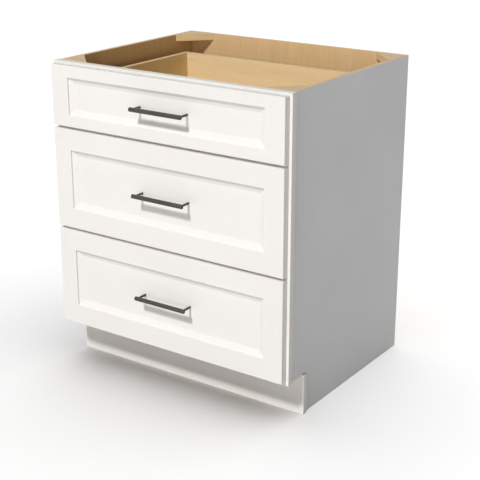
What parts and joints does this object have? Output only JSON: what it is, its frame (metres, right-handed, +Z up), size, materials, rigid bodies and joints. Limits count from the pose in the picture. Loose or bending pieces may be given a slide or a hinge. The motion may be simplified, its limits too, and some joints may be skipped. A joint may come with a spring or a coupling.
{
  "type": "base cabinet with drawers",
  "caption": "Painted kitchen base cabinet with a face frame, stacked drawers on undermount slides, recessed panel fronts, round bar pulls and an open top.",
  "frame": {"origin": "on the floor, under the middle of the cabinet's outer box, pulls included", "axes": "+X to the right as seen from the front, +Y to the back, +Z up"},
  "size_m": [0.762, 0.6602, 0.8763],
  "materials": {
    "white_paint": "satin paint",
    "plywood": "clear coat",
    "drawer_wood": "clear coat",
    "dark_metal": "satin",
    "zinc_steel": "zinc plate",
    "soft_bumper": "matte"
  },
  "bodies": {
    "case": {"stile_left": "white_paint", "stile_right": "white_paint", "rail_top": "white_paint", "rail_upper_mid": "white_paint", "rail_lower_mid": "white_paint", "rail_bottom": "white_paint", "side_panel_left": "white_paint", "side_panel_right": "white_paint", "back_panel": "plywood", "bottom_panel": "plywood", "toe_board": "white_paint", "corner_brace_front_left": "plywood", "corner_brace_front_right": "plywood", "corner_brace_back_left": "plywood", "corner_brace_back_right": "plywood", "slide_spacers_left": "plywood", "slide_spacers_right": "plywood", "slide_outer_upper": "zinc_steel", "slide_outer_middle": "zinc_steel", "slide_outer_lower": "zinc_steel", "slide_screws": "zinc_steel", "brace_dowels": "plywood", "frame_dowels": "plywood"},
    "drawer_upper": {"drawer_front_upper": "white_paint", "box_front_upper": "drawer_wood", "box_back_upper": "drawer_wood", "box_side_left_upper": "drawer_wood", "box_side_right_upper": "drawer_wood", "box_bottom_upper": "plywood", "pull_upper": "dark_metal", "pull_screws_upper": "zinc_steel", "front_screws_upper": "zinc_steel", "bumpers_upper": "soft_bumper", "slide_inner_upper": "zinc_steel"},
    "slides_upper": {"slide_intermediate_upper": "zinc_steel"},
    "drawer_middle": {"drawer_front_middle": "white_paint", "box_front_middle": "drawer_wood", "box_back_middle": "drawer_wood", "box_side_left_middle": "drawer_wood", "box_side_right_middle": "drawer_wood", "box_bottom_middle": "plywood", "pull_middle": "dark_metal", "pull_screws_middle": "zinc_steel", "front_screws_middle": "zinc_steel", "bumpers_middle": "soft_bumper", "slide_inner_middle": "zinc_steel"},
    "slides_middle": {"slide_intermediate_middle": "zinc_steel"},
    "drawer_lower": {"drawer_front_lower": "white_paint", "box_front_lower": "drawer_wood", "box_back_lower": "drawer_wood", "box_side_left_lower": "drawer_wood", "box_side_right_lower": "drawer_wood", "box_bottom_lower": "plywood", "pull_lower": "dark_metal", "pull_screws_lower": "zinc_steel", "front_screws_lower": "zinc_steel", "bumpers_lower": "soft_bumper", "slide_inner_lower": "zinc_steel"},
    "slides_lower": {"slide_intermediate_lower": "zinc_steel"}
  },
  "joints": [
    {"name": "drawer_upper_slide", "type": "slide", "parent": "case", "child": "drawer_upper", "axis": [0, -1, 0], "range_m": [0, 0.508]},
    {"name": "slides_upper_slide", "type": "slide", "parent": "case", "child": "slides_upper", "axis": [0, -1, 0], "range_m": [0, 0.254]},
    {"name": "drawer_middle_slide", "type": "slide", "parent": "case", "child": "drawer_middle", "axis": [0, -1, 0], "range_m": [0, 0.508]},
    {"name": "slides_middle_slide", "type": "slide", "parent": "case", "child": "slides_middle", "axis": [0, -1, 0], "range_m": [0, 0.254]},
    {"name": "drawer_lower_slide", "type": "slide", "parent": "case", "child": "drawer_lower", "axis": [0, -1, 0], "range_m": [0, 0.508]},
    {"name": "slides_lower_slide", "type": "slide", "parent": "case", "child": "slides_lower", "axis": [0, -1, 0], "range_m": [0, 0.254]}
  ],
  "couplings": [
    {"joint": "slides_upper_slide", "follows": "drawer_upper_slide", "ratio": 0.5},
    {"joint": "slides_middle_slide", "follows": "drawer_middle_slide", "ratio": 0.5},
    {"joint": "slides_lower_slide", "follows": "drawer_lower_slide", "ratio": 0.5}
  ]
}
